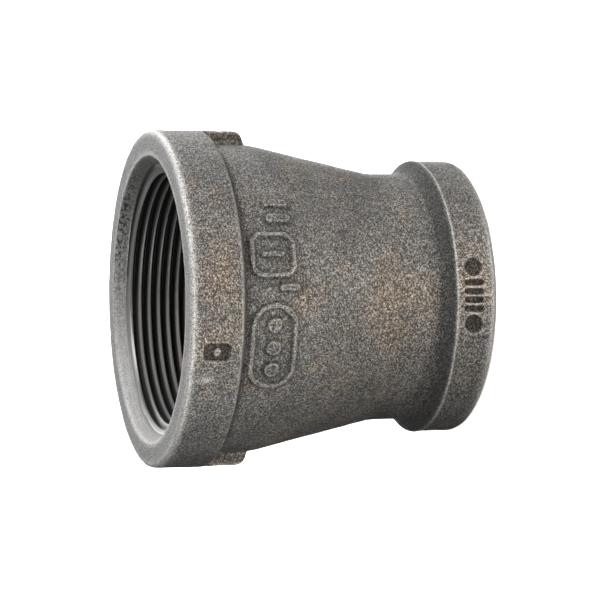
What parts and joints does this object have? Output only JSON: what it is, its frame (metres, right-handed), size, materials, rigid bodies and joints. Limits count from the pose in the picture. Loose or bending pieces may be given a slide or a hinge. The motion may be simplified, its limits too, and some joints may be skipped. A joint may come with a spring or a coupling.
{
  "type": "reducing coupling",
  "caption": "Straight cast-iron reducing coupling with internal pipe threads: a wide band at the large end, a tapering body and a narrow band at the small end.",
  "frame": {"origin": "centre of the bore in the plane of the small end's face, on which the part stands", "axes": "+Z along the bore from the small end to the large end; the two ribs lie at +X and -X, and the foundry marks face -Y"},
  "size_m": [0.0754, 0.0754, 0.0714],
  "materials": {
    "cast_iron": "as-cast black malleable iron with cut threads"
  },
  "bodies": {
    "root": {"coupling_casting": "cast_iron"}
  },
  "joints": []
}
